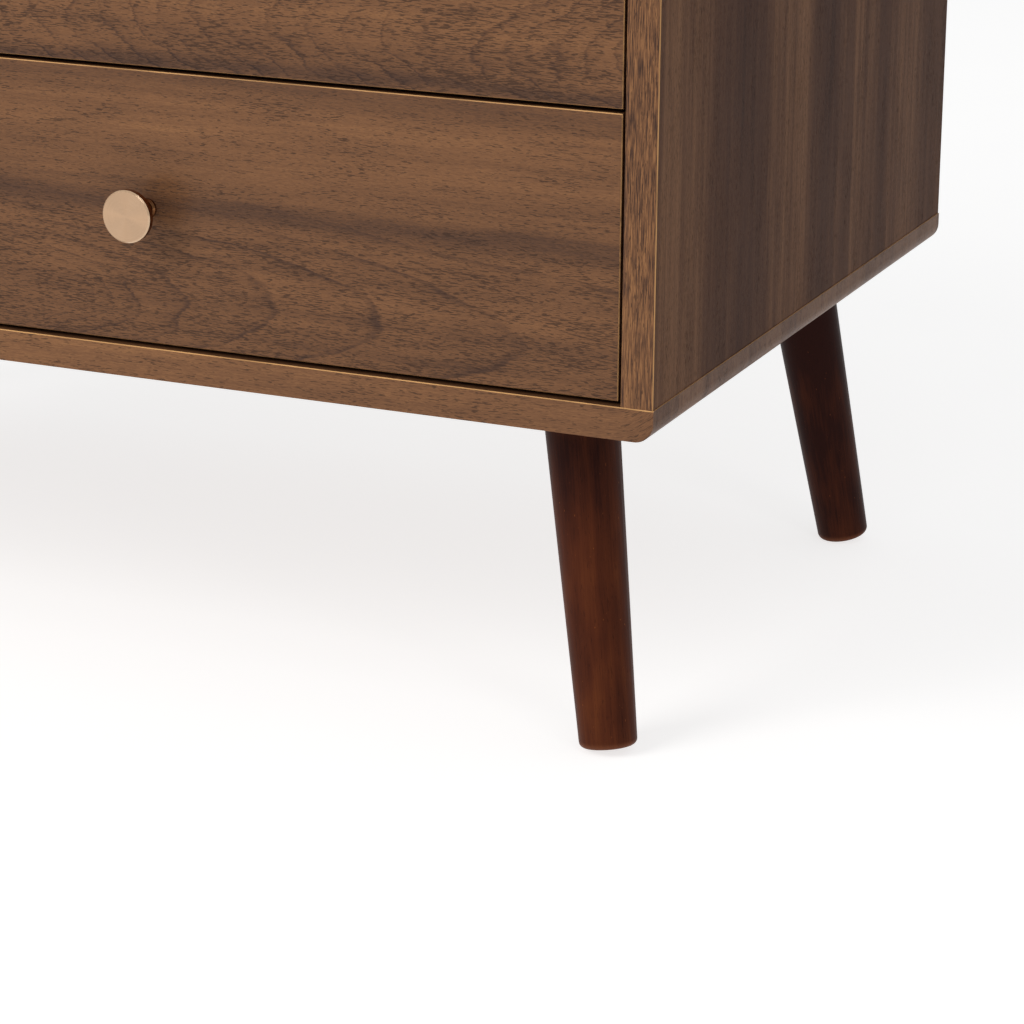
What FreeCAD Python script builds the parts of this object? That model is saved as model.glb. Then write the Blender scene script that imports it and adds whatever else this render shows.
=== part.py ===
import FreeCAD, Part
import os
import re
import Sketcher

# A nightstand with two inset drawers on four splayed, tapered legs.
# Millimetres. +X is to the right, +Y to the back, +Z up. The origin lies on the
# floor, at the middle of the box around the whole piece, knobs included.

SIZES = {
    # cabinet
    "width": 731.0,
    "depth": 427.0,
    "leg_height": 162.5,
    "board": 15.0,
    "ledge": 0.4,
    "corner_radius": 9.0,
    "arris": 0.4,
    "back_board": 3.0,
    "back_inset": 10.0,
    "groove_depth": 5.0,
    "groove_play": 0.2,
    # carcass joints
    "dowel_radius": 4.0,
    "dowel_in_panel": 10.0,
    "dowel_in_side": 20.0,
    "dowel_inset": 45.0,
    "dowel_play": 0.05,
    "end_play": 1.0,
    "cam_radius": 7.5,
    "cam_depth": 12.5,
    "cam_distance": 34.0,
    "cam_inset": 85.0,
    "bolt_radius": 3.2,
    "bolt_in_panel": 10.0,
    "bolt_clearance": 0.6,
    # legs
    "leg_top_radius": 17.5,
    "leg_foot_radius": 13.5,
    "foot_round": 3.0,
    "leg_top_chamfer": 1.0,
    "leg_inset_x": 34.1,
    "leg_inset_y": 40.8,
    "leg_lean_x": 25.7,
    "leg_lean_y": 21.3,
    # leg plates
    "plate_size": 64.0,
    "plate_thickness": 2.5,
    "plate_screw_inset": 8.0,
    "boss_radius": 20.0,
    "boss_edge": 1.0,
    "hanger_radius": 4.0,
    "hanger_in_leg": 25.0,
    "hanger_in_plate": 5.0,
    # drawer fronts
    "front_height": 127.0,
    "front_gap": 2.0,
    "front_recess": 1.5,
    # drawer boxes
    "box_board": 12.0,
    "box_height": 90.0,
    "box_length": 350.0,
    "box_lift": 14.0,
    "box_bottom": 3.0,
    "box_bottom_lift": 8.0,
    "box_groove": 4.0,
    "box_dowel_radius": 3.0,
    "box_dowel_in_face": 8.0,
    "box_dowel_in_end": 20.0,
    "box_dowel_inset": 22.0,
    # runners
    "runner_space": 12.5,
    "runner_length": 350.0,
    "runner_setback": 1.0,
    "runner_steel": 1.2,
    "runner_height": 27.0,
    "runner_flange": 10.5,
    "runner_drop": 4.0,
    "runner_lift": 0.8,
    "runner_tongue": 10.3,
    "runner_shelf": 11.0,
    "roller_radius": 12.0,
    "roller_width": 6.5,
    "roller_chamfer": 0.6,
    "roller_inset": 13.0,
    "roller_side_gap": 0.8,
    "roller_gap": 0.3,
    "axle_radius": 3.0,
    "axle_play": 0.05,
    "axle_head_radius": 4.5,
    "axle_head": 0.5,
    "axle_head_gap": 0.2,
    # screws
    "screw_radius": 1.6,
    "screw_length": 11.0,
    "screw_head_radius": 3.3,
    "screw_head": 1.4,
    "screw_play": 0.05,
    "screw_inset": 50.0,
    # knobs
    "knob_spacing": 232.0,
    "knob_proud": 20.0,
    "knob_radius": 12.2,
    "knob_disc": 4.2,
    "knob_back_slope": 0.8,
    "knob_rim": 0.7,
    "knob_base_radius": 4.8,
    "knob_base": 1.2,
    "knob_waist_radius": 4.1,
    "knob_neck_radius": 6.2,
    "knob_thread_radius": 2.0,
    "knob_thread_depth": 10.0,
    "knob_hole_radius": 2.25,
    "knob_screw_head_radius": 4.0,
    "knob_screw_head": 2.4,
}

LEVELS = ("lower", "upper")

doc = FreeCAD.newDocument("nightstand")
sheet = doc.addObject("Spreadsheet::Sheet", "sizes")
for row, (name, size) in enumerate(SIZES.items(), start=1):
    sheet.set(f"A{row}", name)
    sheet.set(f"B{row}", str(size))
    sheet.setAlias(f"B{row}", name)
doc.recompute()

NAMES = re.compile(r"\b(" + "|".join(sorted(SIZES, key=len, reverse=True)) + r")\b")

# Places that several pieces share, as expressions of the sheet's sizes.
KNOB_X = "(knob_spacing / 2)"
KNOB_AHEAD = "(knob_proud - ledge - front_recess)"
FRONT_Y = f"(({KNOB_AHEAD} - depth) / 2)"
REAR_Y = f"({FRONT_Y} + depth)"
SIDE_FRONT_Y = f"({FRONT_Y} + ledge)"
SIDE_REAR_Y = f"({REAR_Y} - ledge)"
FACE_Y = f"({SIDE_FRONT_Y} + front_recess)"
BOX_Y = f"({FACE_Y} + board)"
RUNNER_Y = f"({BOX_Y} + runner_setback)"
BACK_Y = f"({SIDE_REAR_Y} - back_inset - back_board)"
INNER_X = "(width / 2 - ledge - board)"
BOX_X = f"({INNER_X} - runner_space)"
BOX_INNER_X = f"({BOX_X} - box_board)"
PANEL_TOP_Z = "(leg_height + board)"
INNER_HEIGHT = f"({len(LEVELS)} * (front_height + front_gap) + front_gap)"
ROOF_Z = f"({PANEL_TOP_Z} + {INNER_HEIGHT})"
LEAN = "atan(sqrt(leg_lean_x ^ 2 + leg_lean_y ^ 2) / leg_height)"
FOOT_LIFT = f"((leg_foot_radius - foot_round) * sin({LEAN}) + foot_round * (1 - cos({LEAN})))"
PLATE_DROP = f"(plate_thickness + boss_edge + boss_radius * tan({LEAN}))"
RUNNER_WEB = "(runner_height + runner_lift + 2 * runner_steel - runner_drop)"

TURNS = {
    "+X": FreeCAD.Rotation(FreeCAD.Vector(0, 1, 0), 90),
    "-X": FreeCAD.Rotation(FreeCAD.Vector(0, 1, 0), -90),
    "+Y": FreeCAD.Rotation(FreeCAD.Vector(1, 0, 0), -90),
    "-Y": FreeCAD.Rotation(FreeCAD.Vector(1, 0, 0), 90),
    "+Z": FreeCAD.Rotation(),
    "-Z": FreeCAD.Rotation(FreeCAD.Vector(1, 0, 0), 180),
}

pieces = []


def on_sheet(text):
    """The expression with each size written as the sheet's cell."""
    return NAMES.sub(r"sizes.\1", str(text))


def value(text):
    return float(sheet.evalExpression(on_sheet(text)))


def bind(item, sizes):
    for key, text in sizes.items():
        item.setExpression(key, on_sheet(text))
    return item


def put(item, at, along="+Z"):
    """Places an item, its own Z axis turned to point along a main axis."""
    item.Placement = FreeCAD.Placement(FreeCAD.Vector(), TURNS[along])
    return bind(item, {f"Placement.Base.{axis}": text for axis, text in zip("xyz", at)})


def piece(label, item):
    """Names an item as one of the pieces that are written out."""
    item.Label = label
    pieces.append(item)
    return item


def body(name):
    return doc.addObject("PartDesign::Body", f"{name}_body")


def polygon(owner, role, corners):
    """A closed outline on one of the body's origin planes, each corner tied to the sheet."""
    outline = owner.newObject("Sketcher::SketchObject", "outline")
    plane = next(item for item in owner.Origin.OriginFeatures if item.Role == role)
    outline.AttachmentSupport = [(plane, "")]
    outline.MapMode = "FlatFace"
    points = [FreeCAD.Vector(value(x), value(y), 0) for x, y in corners]
    count = len(points)
    for index in range(count):
        outline.addGeometry(Part.LineSegment(points[index], points[(index + 1) % count]), False)
    for index in range(count):
        joined = Sketcher.Constraint("Coincident", index, 2, (index + 1) % count, 1)
        outline.addConstraint(joined)
    for index, corner in enumerate(corners):
        for kind, text, place in zip(("DistanceX", "DistanceY"), corner, points[index]):
            tie = outline.addConstraint(Sketcher.Constraint(kind, -1, 1, index, 1, place))
            outline.setExpression(f"Constraints[{tie}]", on_sheet(text))
    return outline


def pad(owner, outline, length, backwards=False):
    solid = owner.newObject("PartDesign::Pad", "pad")
    solid.Profile = outline
    solid.Reversed = backwards
    bind(solid, {"Length": length})
    doc.recompute()
    return solid


def turned(name, profile):
    """A body turned about its own Z axis from corners of radius and height."""
    owner = body(name)
    outline = polygon(owner, "XZ_Plane", profile)
    solid = owner.newObject("PartDesign::Revolution", "revolution")
    solid.Profile = outline
    solid.ReferenceAxis = (outline, ["V_Axis"])
    solid.Angle = 360
    doc.recompute()
    return owner


def ease(owner, kind, size, wanted):
    """Rounds or chamfers the edges of a body's last feature that pass a test."""
    base = owner.Tip
    names = [f"Edge{number}" for number, edge in enumerate(base.Shape.Edges, start=1) if wanted(edge)]
    feature = owner.newObject(f"PartDesign::{kind}", kind.lower())
    feature.Base = (base, names)
    bind(feature, {"Radius" if kind == "Fillet" else "Size": size})
    doc.recompute()
    return feature


def near(first, second):
    return abs(first - second) < 1e-6


def runs_along(edge, axis):
    direction = edge.tangentAt(edge.FirstParameter)
    return edge.Curve.TypeId == "Part::GeomLine" and abs(getattr(direction, axis)) > 0.999


def board(name, size, at):
    """A flat board as a body with its low corner at a place."""
    owner = body(name)
    wide, deep, high = size
    outline = polygon(owner, "XY_Plane", [("0", "0"), (wide, "0"), (wide, deep), ("0", deep)])
    pad(owner, outline, high)
    return put(owner, at)


def block(size, at):
    item = doc.addObject("Part::Box", "block")
    bind(item, dict(zip(("Length", "Width", "Height"), size)))
    return put(item, at)


def rod(radius, length, at, along="+Z"):
    item = doc.addObject("Part::Cylinder", "rod")
    bind(item, {"Radius": radius, "Height": length})
    return put(item, at, along)


def cone(start, end, length, at, along="+Z"):
    item = doc.addObject("Part::Cone", "cone")
    bind(item, {"Radius1": start, "Radius2": end, "Height": length})
    return put(item, at, along)


def group(items):
    item = doc.addObject("Part::Compound", "group")
    item.Links = items
    return item


def fused(first, second):
    item = doc.addObject("Part::Fuse", "fuse")
    item.Base = first
    item.Tool = second
    return item


def cut(base, tools):
    item = doc.addObject("Part::Cut", "cut")
    item.Base = base
    item.Tool = group(tools)
    return item


def mirrored(item):
    """The left-hand twin of a right-hand item."""
    twin = doc.addObject("Part::Mirroring", "mirror")
    twin.Source = item
    twin.Normal = (1, 0, 0)
    return twin


def pair(label, item):
    """A right-hand piece and its left-hand twin."""
    piece(f"{label}_right", item)
    piece(f"{label}_left", mirrored(item))


def copies(item, places, along):
    """Links to one fastener, each at its own place."""
    links = []
    for at in places:
        link = doc.addObject("App::Link", "copy")
        link.LinkedObject = item
        links.append(put(link, at, along))
    return links


def with_twins(items):
    """Right-hand items and, as one group, their left-hand twins."""
    return items + [mirrored(group(items))]


# --- carcass -------------------------------------------------------------------

JOINT_X = f"({INNER_X} + board / 2)"
DOWEL_PLACES = (f"({SIDE_FRONT_Y} + dowel_inset)", f"({SIDE_REAR_Y} - dowel_inset)")
CAM_PLACES = (f"({SIDE_FRONT_Y} + cam_inset)", f"({SIDE_REAR_Y} - cam_inset)")
# Each end of a side panel: its height, the way into the side and the way into the panel.
ENDS = ((PANEL_TOP_Z, "+Z", "-Z"), (ROOF_Z, "-Z", "+Z"))


def panel_joint_holes(height, into_panel):
    """Right-hand blind holes of the dowels and the cam bolts in the top or bottom panel."""
    depth = "(dowel_in_panel + end_play)"
    holes = [rod("dowel_radius + dowel_play", depth, (JOINT_X, y, height), into_panel)
             for y in DOWEL_PLACES]
    holes += [rod("bolt_radius + dowel_play", "bolt_in_panel + end_play", (JOINT_X, y, height), into_panel)
              for y in CAM_PLACES]
    return with_twins(holes)


def back_groove_across(height, into_panel):
    """The groove that holds the back panel in the top or bottom panel."""
    low = height if into_panel == "+Z" else f"{height} - groove_depth"
    return block(
        (f"2 * ({INNER_X} + groove_depth)", "back_board + 2 * groove_play", "groove_depth"),
        (f"-({INNER_X} + groove_depth)", f"{BACK_Y} - groove_play", low),
    )


def flat_panel(name, low_z, round_low):
    """A top or bottom panel: its outer corners are rounded from front to back."""
    owner = body(name)
    corners = [("-width / 2", "0"), ("width / 2", "0"), ("width / 2", "board"), ("-width / 2", "board")]
    pad(owner, polygon(owner, "XZ_Plane", corners), "depth", backwards=True)
    rounded = 0.0 if round_low else value("board")
    sharp = value("board") - rounded
    ease(owner, "Chamfer", "arris", lambda edge: runs_along(edge, "x")
         and near(edge.CenterOfMass.z, sharp) and near(edge.CenterOfMass.y, 0.0))
    ease(owner, "Fillet", "corner_radius", lambda edge: runs_along(edge, "y")
         and near(edge.CenterOfMass.z, rounded))
    return put(owner, ("0", FRONT_Y, low_z))


def carcass():
    bottom = flat_panel("bottom_panel", "leg_height", round_low=True)
    holes = panel_joint_holes(PANEL_TOP_Z, "-Z") + [back_groove_across(PANEL_TOP_Z, "-Z")]
    holes += [rod("screw_radius + screw_play", "screw_length - plate_thickness + end_play",
                  (x, y, "leg_height")) for x, y in plate_screw_places()]
    piece("bottom_panel", cut(bottom, holes))

    top = flat_panel("top_panel", ROOF_Z, round_low=False)
    piece("top_panel", cut(top, panel_joint_holes(ROOF_Z, "+Z") + [back_groove_across(ROOF_Z, "+Z")]))

    side = body("side_panel")
    corners = [("0", "0"), ("board", "0"), ("board", "depth - 2 * ledge"), ("0", "depth - 2 * ledge")]
    pad(side, polygon(side, "XY_Plane", corners), INNER_HEIGHT)
    outer = value("board")
    ease(side, "Chamfer", "arris", lambda edge: runs_along(edge, "z")
         and near(edge.CenterOfMass.y, 0.0) and near(edge.CenterOfMass.x, outer))
    put(side, (INNER_X, SIDE_FRONT_Y, PANEL_TOP_Z))
    pair("side_panel", cut(side, side_panel_holes()))

    piece("back_panel", board(
        "back_panel",
        (f"2 * ({INNER_X} + groove_depth - groove_play)", "back_board",
         f"{INNER_HEIGHT} + 2 * (groove_depth - groove_play)"),
        (f"-({INNER_X} + groove_depth - groove_play)", BACK_Y,
         f"{PANEL_TOP_Z} - groove_depth + groove_play"),
    ))


def side_panel_holes():
    """Holes in the right side panel: its joints, the back's groove and the runner screws."""
    holes = [block(
        ("groove_depth", "back_board + 2 * groove_play", INNER_HEIGHT),
        (INNER_X, f"{BACK_Y} - groove_play", PANEL_TOP_Z),
    )]
    for height, into_side, _ in ENDS:
        cam_z = cam_height(height, into_side)
        for y in DOWEL_PLACES:
            holes.append(rod("dowel_radius + dowel_play", "dowel_in_side + end_play",
                             (JOINT_X, y, height), into_side))
        for y in CAM_PLACES:
            holes.append(rod("bolt_radius + bolt_clearance", "cam_distance",
                             (JOINT_X, y, height), into_side))
            holes.append(rod("cam_radius + dowel_play", "cam_depth + dowel_play",
                             (INNER_X, y, cam_z), "+X"))
    for level in range(len(LEVELS)):
        for y in runner_screw_places():
            holes.append(rod("screw_radius + screw_play", "screw_length - runner_steel + end_play",
                             (INNER_X, y, axle_z(level)), "+X"))
    return holes


def cam_height(height, into_side):
    sign = "+" if into_side == "+Z" else "-"
    return f"({height} {sign} cam_distance)"


def carcass_fittings():
    """Dowels, cam bolts and cams that hold the side panels to the top and bottom panels."""
    dowels = []
    bolts = []
    cams = []
    for height, into_side, into_panel in ENDS:
        sign = "-" if into_side == "+Z" else "+"
        dowel_start = f"{height} {sign} dowel_in_panel"
        bolt_start = f"{height} {sign} bolt_in_panel"
        for y in DOWEL_PLACES:
            dowels.append(rod("dowel_radius", "dowel_in_panel + dowel_in_side",
                              (JOINT_X, y, dowel_start), into_side))
        for y in CAM_PLACES:
            bolts.append(rod("bolt_radius", "bolt_in_panel + cam_distance",
                             (JOINT_X, y, bolt_start), into_side))
            cam_z = cam_height(height, into_side)
            cam = rod("cam_radius", "cam_depth", (INNER_X, y, cam_z), "+X")
            socket = rod("bolt_radius + bolt_clearance", "cam_radius + bolt_radius",
                         (JOINT_X, y, f"{cam_z} {sign} cam_radius"), into_side)
            cams.append(cut(cam, [socket]))
    piece("carcass_dowels", group(with_twins(dowels)))
    piece("cam_bolts", group(with_twins(bolts)))
    piece("cam_housings", group(with_twins(cams)))


# --- legs ----------------------------------------------------------------------

CORNERS = [(f"{end}_{side}", across, along_y)
           for end, along_y in (("front", 1), ("rear", -1))
           for side, across in (("left", -1), ("right", 1))]


def leg_place(across, along_y, height):
    """Where a leg's axis is at a height above the floor."""
    start = FRONT_Y if along_y > 0 else REAR_Y
    x = f"({across} * (width / 2 - leg_inset_x - leg_lean_x * ({height}) / leg_height))"
    y = f"({start} + {along_y} * (leg_inset_y + leg_lean_y * ({height}) / leg_height))"
    return x, y


def lean(item, across, along_y, height):
    """Stands an item on a leg's axis at a height, tilted with the leg."""
    x, y = leg_place(across, along_y, height)
    axis = f"vector({-along_y} * leg_lean_y; {-across} * leg_lean_x; 0)"
    text = f"placement(vector({x}; {y}; {height}); rotation({axis}; {LEAN}))"
    return bind(item, {"Placement": text})


def plate_screw_places():
    places = []
    reach = "(plate_size / 2 - plate_screw_inset)"
    for _, across, along_y in CORNERS:
        x, y = leg_place(across, along_y, "leg_height")
        places += [(f"{x} + {i} * {reach}", f"{y} + {j} * {reach}") for i in (-1, 1) for j in (-1, 1)]
    return places


def leg_plate(across, along_y):
    """A steel plate with a tilted boss that the leg's end seats on."""
    x, y = leg_place(across, along_y, "leg_height")
    corner = (f"{x} - plate_size / 2", f"{y} - plate_size / 2")
    flat = block(("plate_size", "plate_size", "plate_thickness"), (*corner, "leg_height - plate_thickness"))
    boss = lean(rod("boss_radius", f"4 * {PLATE_DROP}", ("0", "0", "0")),
                across, along_y, f"leg_height - {PLATE_DROP}")
    under = block(("plate_size", "plate_size", f"3 * {PLATE_DROP}"),
                  (*corner, f"leg_height - 3 * {PLATE_DROP}"))
    kept = doc.addObject("Part::Common", "boss")
    kept.Base = boss
    kept.Tool = under
    bore = lean(rod("hanger_radius + screw_play", f"4 * {PLATE_DROP}", ("0", "0", "0")),
                across, along_y, f"leg_height - 2 * {PLATE_DROP}")
    holes = [bore]
    reach = "(plate_size / 2 - plate_screw_inset)"
    for i in (-1, 1):
        for j in (-1, 1):
            at = (f"{x} + {i} * {reach}", f"{y} + {j} * {reach}", "leg_height - plate_thickness")
            holes.append(cone("screw_head_radius + screw_play", "screw_radius + screw_play",
                              "screw_head", at))
            holes.append(rod("screw_radius + screw_play", "plate_thickness", at))
    return cut(fused(flat, kept), holes)


def legs():
    """Four tapered legs, cut square at the foot, with their plates and bolts."""
    seat = f"(leg_height - {PLATE_DROP})"
    length = f"({seat} - {FOOT_LIFT}) / cos({LEAN})"
    bolts = []
    for name, across, along_y in CORNERS:
        leg = turned(f"leg_{name}", [("0", "0"), ("leg_foot_radius", "0"),
                                     ("leg_top_radius", length), ("0", length)])
        ease(leg, "Fillet", "foot_round", lambda edge: edge.Curve.TypeId == "Part::GeomCircle"
             and near(edge.CenterOfMass.z, 0.0))
        top = value(length)
        ease(leg, "Chamfer", "leg_top_chamfer", lambda edge: edge.Curve.TypeId == "Part::GeomCircle"
             and near(edge.CenterOfMass.z, top))
        lean(leg, across, along_y, FOOT_LIFT)
        socket = lean(rod("hanger_radius + screw_play", "2 * hanger_in_leg", ("0", "0", "0")),
                      across, along_y, f"{seat} - (hanger_in_leg + end_play) * cos({LEAN})")
        piece(f"leg_{name}", cut(leg, [socket]))
        piece(f"leg_plate_{name}", leg_plate(across, along_y))
        bolts.append(lean(rod("hanger_radius", "hanger_in_leg + hanger_in_plate", ("0", "0", "0")),
                          across, along_y, f"{seat} - hanger_in_leg * cos({LEAN})"))
    piece("leg_bolts", group(bolts))
    head = cone("screw_head_radius", "screw_radius", "screw_head", ("0", "0", "0"))
    screw = fused(head, rod("screw_radius", "screw_length", ("0", "0", "0")))
    places = [(x, y, "leg_height - plate_thickness") for x, y in plate_screw_places()]
    piece("leg_plate_screws", group(copies(screw, places, "+Z")))


# --- runners -------------------------------------------------------------------

def front_z(level):
    return f"({PANEL_TOP_Z} + front_gap + {level} * (front_height + front_gap))"


def box_z(level):
    return f"({front_z(level)} + box_lift)"


def runner_z(level):
    return f"({box_z(level)} - runner_drop)"


def axle_z(level):
    """The height of the rear roller, which runs inside the cabinet's channel."""
    return f"({runner_z(level)} + runner_steel + roller_radius + roller_gap)"


def front_axle_z(level):
    """The height of the front roller, which carries the drawer's tongue."""
    return f"({runner_z(level)} + runner_height + runner_lift - roller_gap - roller_radius)"


def runner_screw_places():
    return [f"({RUNNER_Y} + screw_inset)", f"({RUNNER_Y} + runner_length / 2)",
            f"({RUNNER_Y} + runner_length - screw_inset)"]


def pan_screw():
    head = rod("screw_head_radius", "screw_head", ("0", "0", "-screw_head"))
    return fused(head, rod("screw_radius", "screw_length", ("0", "0", "0")))


def cabinet_runner(level):
    """A right-hand channel, open towards the drawer, cut back above its front roller."""
    owner = body("cabinet_runner")
    pad(owner, polygon(owner, "XZ_Plane", [
        ("0", "0"), ("0", "runner_height"),
        ("-runner_flange", "runner_height"), ("-runner_flange", "runner_height - runner_steel"),
        ("-runner_steel", "runner_height - runner_steel"), ("-runner_steel", "runner_steel"),
        ("-runner_flange", "runner_steel"), ("-runner_flange", "0"),
    ]), "runner_length", backwards=True)
    put(owner, (INNER_X, RUNNER_Y, runner_z(level)))
    relief = block(("runner_flange", "2 * roller_inset", "2 * runner_steel"),
                   (f"{INNER_X} - runner_steel - runner_flange", RUNNER_Y,
                    f"{runner_z(level)} + runner_height - 2 * runner_steel"))
    holes = [relief]
    holes += [rod("screw_radius + screw_play", "3 * runner_steel",
                  (f"{INNER_X} - 2 * runner_steel", y, axle_z(level)), "+X") for y in runner_screw_places()]
    return cut(owner, holes)


def drawer_runner(level):
    """A right-hand member: a shelf under the box, a web beside it and a tongue on the roller."""
    owner = body("drawer_runner")
    pad(owner, polygon(owner, "XZ_Plane", [
        ("-runner_shelf", "0"), ("runner_steel", "0"),
        ("runner_steel", f"{RUNNER_WEB} - runner_steel"), ("runner_tongue", f"{RUNNER_WEB} - runner_steel"),
        ("runner_tongue", RUNNER_WEB), ("0", RUNNER_WEB),
        ("0", "runner_steel"), ("-runner_shelf", "runner_steel"),
    ]), "runner_length", backwards=True)
    put(owner, (BOX_X, RUNNER_Y, f"{box_z(level)} - runner_steel"))
    holes = [rod("screw_radius + screw_play", "3 * runner_steel",
                 (f"{BOX_X} - box_board / 2", y, f"{box_z(level)} - 2 * runner_steel"))
             for y in runner_screw_places()]
    return cut(owner, holes)


def roller(at):
    edge = "roller_chamfer"
    bore = "axle_radius + axle_play"
    owner = turned("roller", [
        (bore, "0"), (f"roller_radius - {edge}", "0"), ("roller_radius", edge),
        ("roller_radius", f"roller_width - {edge}"), (f"roller_radius - {edge}", "roller_width"),
        (bore, "roller_width"),
    ])
    return put(owner, at, "+X")


def axle(start, y, z, along):
    """A rivet from a runner's web through its roller, with a thin head outside."""
    sign = "+" if along == "+X" else "-"
    reach = "(roller_side_gap + roller_width + axle_head_gap)"
    shank = rod("axle_radius", f"{reach} + axle_head", (start, y, z), along)
    return fused(shank, rod("axle_head_radius", "axle_head", (f"{start} {sign} {reach}", y, z), along))


def runners():
    """Cabinet-side runners of both drawers, with their rollers, rivets and screws."""
    axles = []
    screws = []
    screw = pan_screw()
    web_x = f"({INNER_X} - runner_steel)"
    front_roller_y = f"({RUNNER_Y} + roller_inset)"
    for level, name in enumerate(LEVELS):
        pair(f"cabinet_runner_{name}", cabinet_runner(level))
        pair(f"front_roller_{name}", roller((f"{web_x} - roller_side_gap - roller_width",
                                             front_roller_y, front_axle_z(level))))
        axles.append(axle(web_x, front_roller_y, front_axle_z(level), "-X"))
        screws += copies(screw, [(web_x, y, axle_z(level)) for y in runner_screw_places()], "+X")
    piece("front_roller_axles", group(with_twins(axles)))
    piece("cabinet_runner_screws", group(with_twins(screws)))


# --- drawers -------------------------------------------------------------------

def dowel_heights(level):
    return (f"({box_z(level)} + box_dowel_inset)", f"({box_z(level)} + box_height - box_dowel_inset)")


def bottom_groove(level, size, at):
    """A slot for the drawer's bottom, as wide as the bottom with play above and below."""
    wide, deep = size
    x, y = at
    return block((wide, deep, "box_bottom + 2 * groove_play"),
                 (x, y, f"{box_z(level)} + box_bottom_lift - groove_play"))


def box_side_dowel_holes(level):
    """Right-hand holes between a box side and the front, and between it and the box back."""
    wide = "box_dowel_radius + dowel_play"
    side_x = f"({BOX_X} - box_board / 2)"
    back_y = f"({BOX_Y} + box_length - box_board / 2)"
    into_front = [rod(wide, "box_dowel_in_face + end_play", (side_x, BOX_Y, z), "-Y")
                  for z in dowel_heights(level)]
    into_end = [rod(wide, "box_dowel_in_end + end_play", (side_x, BOX_Y, z), "+Y")
                for z in dowel_heights(level)]
    into_side = [rod(wide, "box_dowel_in_face + end_play", (BOX_INNER_X, back_y, z), "+X")
                 for z in dowel_heights(level)]
    into_back = [rod(wide, "box_dowel_in_end + end_play", (BOX_INNER_X, back_y, z), "-X")
                 for z in dowel_heights(level)]
    return into_front, into_end, into_side, into_back


def drawer_front(level, dowel_holes):
    owner = body("drawer_front")
    half = f"({INNER_X} - front_gap)"
    corners = [(f"-{half}", "0"), (half, "0"), (half, "front_height"), (f"-{half}", "front_height")]
    pad(owner, polygon(owner, "XZ_Plane", corners), "board", backwards=True)
    ease(owner, "Chamfer", "arris", lambda edge: near(edge.CenterOfMass.y, 0.0))
    put(owner, ("0", FACE_Y, front_z(level)))
    groove = bottom_groove(level, (f"2 * ({BOX_INNER_X} + box_groove)", "box_groove"),
                           (f"-({BOX_INNER_X} + box_groove)", f"{BOX_Y} - box_groove"))
    screw_hole = rod("knob_hole_radius", "board", (KNOB_X, FACE_Y, knob_z(level)), "+Y")
    return cut(owner, [groove] + with_twins([screw_hole] + dowel_holes))


def knob_z(level):
    return f"({front_z(level)} + front_height / 2)"


def knob(level):
    """A turned knob: a small base, a narrow waist and a flat disc with a bevelled rim."""
    owner = turned("knob", [
        ("0", "0"), ("knob_base_radius", "0"), ("knob_base_radius", "knob_base"),
        ("knob_waist_radius", "2 * knob_base"),
        ("knob_waist_radius", "knob_proud - knob_disc - 2 * knob_base"),
        ("knob_neck_radius", "knob_proud - knob_disc"),
        ("knob_radius - knob_rim", "knob_proud - knob_disc"),
        ("knob_radius", "knob_proud - knob_disc + knob_back_slope"),
        ("knob_radius", "knob_proud - knob_rim"), ("knob_radius - knob_rim", "knob_proud"),
        ("0", "knob_proud"),
    ])
    put(owner, (KNOB_X, FACE_Y, knob_z(level)), "-Y")
    thread = rod("knob_thread_radius + screw_play", "knob_thread_depth + end_play",
                 (KNOB_X, FACE_Y, knob_z(level)), "-Y")
    return cut(owner, [thread])


def knob_screw(level):
    start = (KNOB_X, BOX_Y, knob_z(level))
    shank = rod("knob_thread_radius", "board + knob_thread_depth", start, "-Y")
    return fused(shank, rod("knob_screw_head_radius", "knob_screw_head", start, "+Y"))


def box_dowels(level):
    side_x = f"({BOX_X} - box_board / 2)"
    back_y = f"({BOX_Y} + box_length - box_board / 2)"
    length = "box_dowel_in_face + box_dowel_in_end"
    dowels = []
    for z in dowel_heights(level):
        into_front = (side_x, f"{BOX_Y} - box_dowel_in_face", z)
        into_side = (f"{BOX_INNER_X} + box_dowel_in_face", back_y, z)
        dowels.append(rod("box_dowel_radius", length, into_front, "+Y"))
        dowels.append(rod("box_dowel_radius", length, into_side, "-X"))
    return group(with_twins(dowels))


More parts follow.
